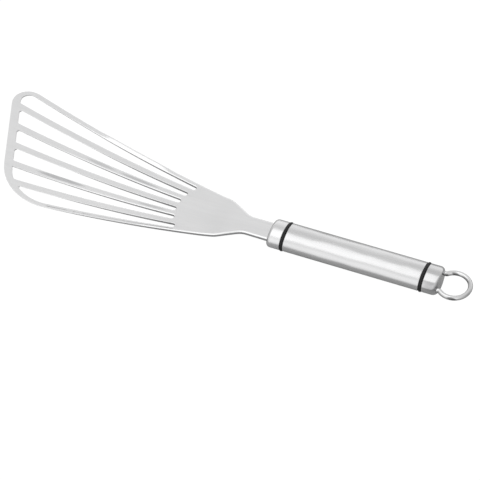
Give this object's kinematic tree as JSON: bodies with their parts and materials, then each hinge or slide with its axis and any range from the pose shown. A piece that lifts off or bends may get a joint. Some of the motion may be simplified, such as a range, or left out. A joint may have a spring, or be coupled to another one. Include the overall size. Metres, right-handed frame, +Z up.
{
  "type": "omelette spatula",
  "caption": "Slotted sheet-steel turner with a slanted rounded tip, a hollow oval steel handle with black seal rings, and a wire hang ring.",
  "frame": {"origin": "on the table, under the middle of the resting spatula's bounding box", "axes": "+X along the spatula from the tip of the blade to the hang ring, +Y across it towards the long corner of the tip, +Z up"},
  "size_m": [0.3516, 0.09, 0.0229],
  "materials": {
    "blade_steel": "satin",
    "handle_steel": "satin",
    "seal_rubber": "matte",
    "core_plastic": "matte",
    "pin_steel": "satin",
    "ring_wire": "polished"
  },
  "bodies": {
    "root": {"blade": "blade_steel", "front_ferrule": "handle_steel", "front_seal_ring": "seal_rubber", "front_core": "core_plastic", "tang_pin": "pin_steel", "handle_tube": "handle_steel", "rear_seal_ring": "seal_rubber", "rear_core": "core_plastic", "end_cap": "handle_steel", "hang_ring": "ring_wire"}
  },
  "joints": []
}
